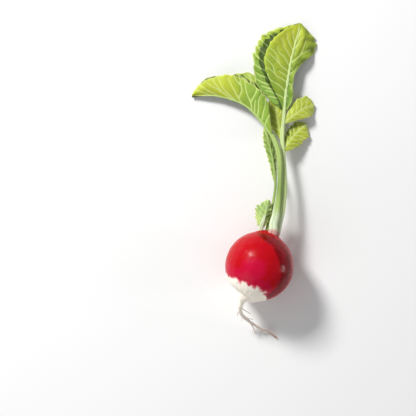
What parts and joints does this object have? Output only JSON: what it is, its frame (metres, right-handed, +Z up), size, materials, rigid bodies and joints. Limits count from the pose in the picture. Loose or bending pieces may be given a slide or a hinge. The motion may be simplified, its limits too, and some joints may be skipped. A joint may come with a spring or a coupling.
{
  "type": "red radish with leaves",
  "caption": "Small round red salad radish with a white tip, a thin tail and its leafy green top, as picked, lying on its side.",
  "frame": {"origin": "middle of the small flat spot under the globe, on the surface that the radish lies on", "axes": "+Y along the length of the radish from tail to leaf tips, +Z up from the surface, +X towards the side of the tall leaf"},
  "size_m": [0.0605, 0.153, 0.0325],
  "materials": {
    "root_skin": "smooth, slightly glossy red skin that turns white at the lower end",
    "leaf_green": "fresh green leaf with pale veins and pale stalks, satin",
    "leaf_pale": "young pale green leaf, satin"
  },
  "bodies": {
    "root": {"root": "root_skin", "upright_leaf": "leaf_green", "arched_leaf": "leaf_green", "narrow_leaf": "leaf_green", "small_base_leaf": "leaf_pale"}
  },
  "joints": []
}
